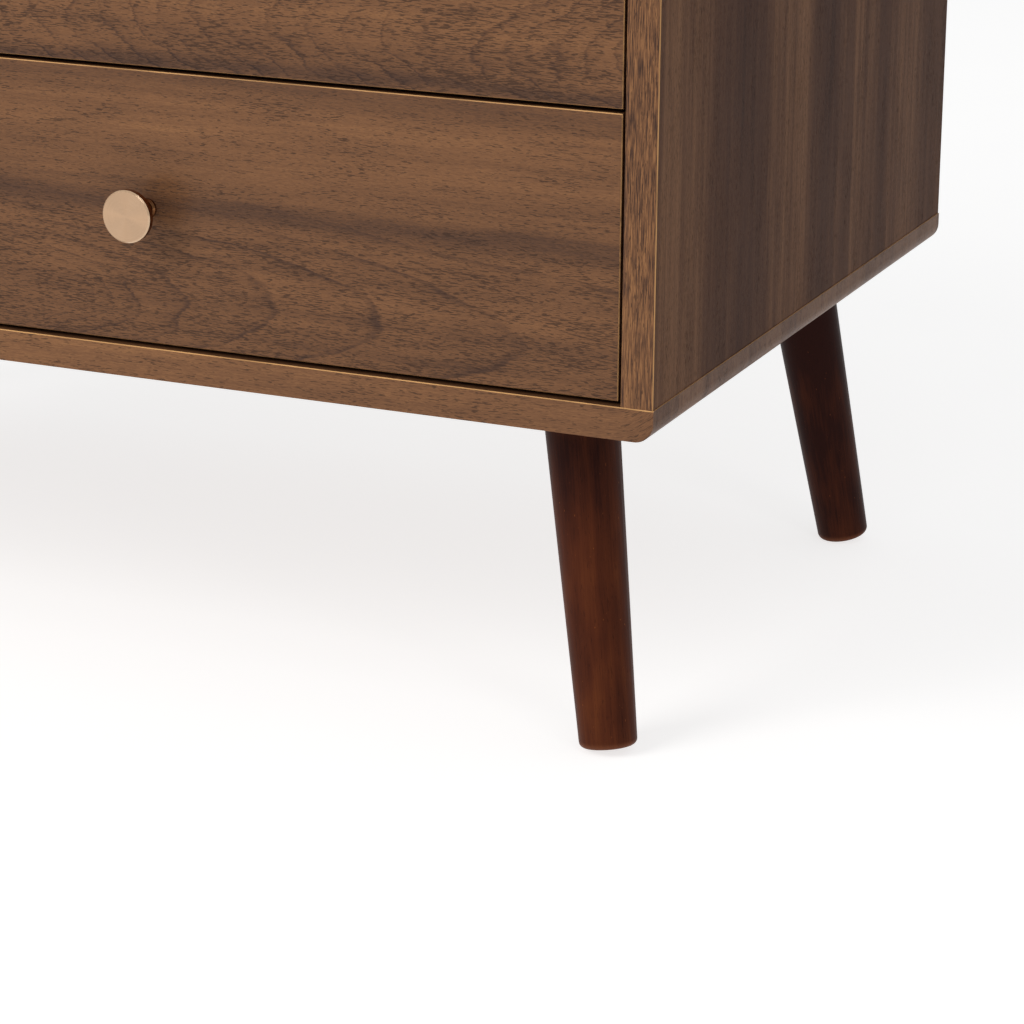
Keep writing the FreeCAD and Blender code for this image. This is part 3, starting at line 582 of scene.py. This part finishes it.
def dress_cabinet():
    """The laminated panels: horizontal grain on the top and bottom, upright grain on the sides."""
    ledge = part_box("side_panel_right")[1].x / MM
    wear("bottom_panel", walnut("walnut_bottom", "X", "Z", 3.0, edge_boost=0.5, edge_lift=0.16,
                                end_lift=0.16, specular=0.03,
                                bend=bend_at_ends("bottom_panel", 1.0), ledge_from=ledge))
    top_middle = (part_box("top_panel")[0].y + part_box("top_panel")[1].y) / 2 / MM
    wear("top_panel", walnut("walnut_top", "X", "Y", 7.0, edge_boost=0.5, edge_lift=0.16, specular=0.1,
                             arches=(top_middle - 40.0, -1.0, 0.1, even_rings, 64.0),
                             bands=((top_middle + 90.0, 16.0, -0.16, 0.02),
                                    (top_middle + 140.0, 12.0, 0.1, 0.0)),
                             bend=bend_at_ends("top_panel", -1.0)))
    depth = (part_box("side_panel_left")[1].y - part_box("side_panel_left")[0].y) / MM
    for index, side in enumerate(SIDES):
        front = mm_low(f"side_panel_{side}").y
        bands = [(front + share * depth, half * depth, strength, 0.0)
                 for share, half, strength in SIDE_STRIPES]
        wear(f"side_panel_{side}",
             walnut(f"walnut_side_{side}", "Z", "Y", 11.0 + 4.0 * index, bands=bands, edge_boost=3.0,
                    edge_lift=-0.07, specular=0.012, gloss=0.42, vivid=1.4))
    wear("back_panel", hardboard("hardboard_back", 1.0))


def dress_legs():
    for index, corner in enumerate(CORNERS):
        # Painted shade for this leg, deeper for the rear legs.
        painted_shade = LEG_PAINTED_SHADE[corner.split("_")[0]]
        wear(f"leg_{corner}", espresso(f"espresso_{corner}", f"leg_{corner}", 1.0 + index, painted_shade))
        wear(f"leg_plate_{corner}", powder_steel(f"plate_paint_{corner}", *PLATE_BLACKS, 2.0 + index))


def dress_drawer(level, arches, bands, tone, seed):
    name = f"drawer_{level}"
    wear(f"{name}_front", walnut(f"walnut_{level}_front", "X", "Z", seed, arches=arches, bands=bands,
                                 tone=tone))
    for side in SIDES:
        wear(f"{name}_side_{side}", paper_board(f"paper_{level}_{side}", "Y", seed + 1.0))
        wear(f"{name}_runner_{side}", runner_coat)
        wear(f"rear_roller_{level}_{side}", roller_nylon)
        wear(f"front_roller_{level}_{side}", roller_nylon)
        wear(f"cabinet_runner_{level}_{side}", runner_coat)
        wear(f"{name}_knob_{side}", brushed_knob(f"champagne_{level}_{side}", f"{name}_knob_{side}"))
    wear(f"{name}_back", paper_board(f"paper_{level}_back", "X", seed + 2.0))
    wear(f"{name}_bottom", hardboard(f"hardboard_{level}", seed + 3.0))
    wear(f"{name}_dowels", dowel_beech)
    for part in ("knob_screws", "axles", "runner_screws"):
        wear(f"{name}_{part}", fastener_zinc)


runner_coat = powder_steel("runner_powder_coat", *RUNNER_WHITES, 5.0)
roller_nylon = nylon("roller_nylon", 6.0)
fastener_zinc = zinc("fastener_zinc", 8.0)
dowel_beech = beech("dowel_beech", 9.0)

dress_cabinet()
dress_legs()
low_z = mm_low("drawer_lower_front").z
up_z = mm_low("drawer_upper_front").z
outer_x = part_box("side_panel_right")[1].x / MM
dress_drawer("lower",
             arches=(low_z + 20.0, 1.0, 0.11, growing_rings, outer_x - 310.0, 44.0, 1.42),
             bands=((low_z + 67.0, 6.0, -0.26, 0.008), (low_z + 108.0, 8.0, 0.12, 0.0),
                    (low_z + 92.0, 7.0, 0.03, 0.0), (low_z + 123.0, 4.0, -0.14, 0.0)),
             tone=0.575, seed=21.0)
dress_drawer("upper",
             arches=(up_z + 25.0, -1.0, 0.055, even_rings, 18.0),
             bands=((up_z + 3.0, 4.0, -0.32, 0.0), (up_z + 96.0, 10.0, -0.12, 0.01),
                    (up_z + 80.0, 8.0, 0.1, 0.0)),
             tone=0.65, seed=33.0)
for name in ("leg_bolts", "leg_plate_screws", "cam_bolts", "cam_housings", "cabinet_runner_screws",
             "front_roller_axles"):
    wear(name, fastener_zinc)
wear("carcass_dowels", dowel_beech)


# --- studio -------------------------------------------------------------------------------

FLOOR_HALF = 15.0                                       # metres
WORLD_STRENGTH = 0.35

# Lights: places in metres from the point they look at, powers in watts.
KEY_PLACE, KEY_POWER, KEY_SIZE, KEY_COLOUR = (-1.5, -2.4, 1.8), 52.0, 1.8, (1.0, 0.98, 0.95)
STRIP_PLACE, STRIP_POWER, STRIP_SIZES, STRIP_TURN = (1.3, -1.1, 1.6), 6.0, (2.6, 0.14), -63.0

# Camera: angles in degrees, lens in millimetres, place in metres from the cabinet's lower corner.
CAMERA_YAW, CAMERA_PITCH, CAMERA_ROLL = 23.85, 16.27, 0.35
CAMERA_PLACE = (0.5099, -1.3349, 0.4285)
FOCAL_LENGTH, SENSOR_WIDTH = 120.7, 36.0
SHIFT_X, SHIFT_Y = 0.0276, -0.0924
FAR_CLIP = 50.0                                         # metres


def floor():
    """A large pale floor that the feet stand on."""
    half = FLOOR_HALF
    corners = [(-half, -half, 0), (half, -half, 0), (half, half, 0), (-half, half, 0)]
    mesh = bpy.data.meshes.new("studio_floor")
    mesh.from_pydata(corners, [], [(0, 1, 2, 3)])
    item = bpy.data.objects.new("studio_floor", mesh)
    mesh.materials.append(floor_paint("floor_paint"))
    bpy.context.scene.collection.objects.link(item)


def area_light(name, place, aim, power, colour=WHITE[:3]):
    """An area light that looks at a point; its own x axis is level."""
    lamp = bpy.data.lights.new(name, "AREA")
    lamp.energy = power
    lamp.color = colour
    item = bpy.data.objects.new(name, lamp)
    item.location = place
    item.rotation_euler = (Vector(aim) - Vector(place)).to_track_quat("-Z", "Y").to_euler()
    bpy.context.scene.collection.objects.link(item)
    return item


def lights():
    """A broad warm key light at the front left and a narrow slanting strip at the front right."""
    low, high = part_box("bottom_panel")
    aim = Vector((high.x / 2, low.y, high.z))
    key = area_light("key", aim + Vector(KEY_PLACE), aim, KEY_POWER, KEY_COLOUR)
    key.data.shape = "DISK"
    key.data.size = KEY_SIZE
    strip = area_light("strip", aim + Vector(STRIP_PLACE), aim, STRIP_POWER)
    strip.data.shape = "RECTANGLE"
    strip.data.size, strip.data.size_y = STRIP_SIZES
    strip.rotation_euler.rotate_axis("Z", math.radians(STRIP_TURN))


def camera():
    """Stands front right of the cabinet and looks at its lower right part."""
    low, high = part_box("bottom_panel")
    corner = Vector((high.x, low.y, low.z))
    yaw, pitch, roll = (math.radians(angle) for angle in (CAMERA_YAW, CAMERA_PITCH, CAMERA_ROLL))
    forward = Vector((-math.sin(yaw) * math.cos(pitch), math.cos(yaw) * math.cos(pitch),
                      -math.sin(pitch)))
    level_right = Vector((math.cos(yaw), math.sin(yaw), 0.0))
    level_up = level_right.cross(forward)
    right = level_right * math.cos(roll) + level_up * math.sin(roll)
    up = level_up * math.cos(roll) - level_right * math.sin(roll)
    lens = bpy.data.cameras.new("camera")
    lens.lens = FOCAL_LENGTH
    lens.sensor_width = SENSOR_WIDTH
    lens.shift_x = SHIFT_X
    lens.shift_y = SHIFT_Y
    lens.clip_end = FAR_CLIP
    item = bpy.data.objects.new("camera", lens)
    turn = Matrix((right, up, -forward)).transposed().to_4x4()
    item.matrix_world = Matrix.Translation(corner + Vector(CAMERA_PLACE)) @ turn
    bpy.context.scene.collection.objects.link(item)
    bpy.context.scene.camera = item


def studio():
    floor()
    world = bpy.data.worlds.new("studio")
    world.use_nodes = True
    world.node_tree.nodes["Background"].inputs["Color"].default_value = WHITE
    world.node_tree.nodes["Background"].inputs["Strength"].default_value = WORLD_STRENGTH
    bpy.context.scene.world = world
    lights()
    bpy.context.scene.view_settings.view_transform = "Standard"
    camera()


studio()
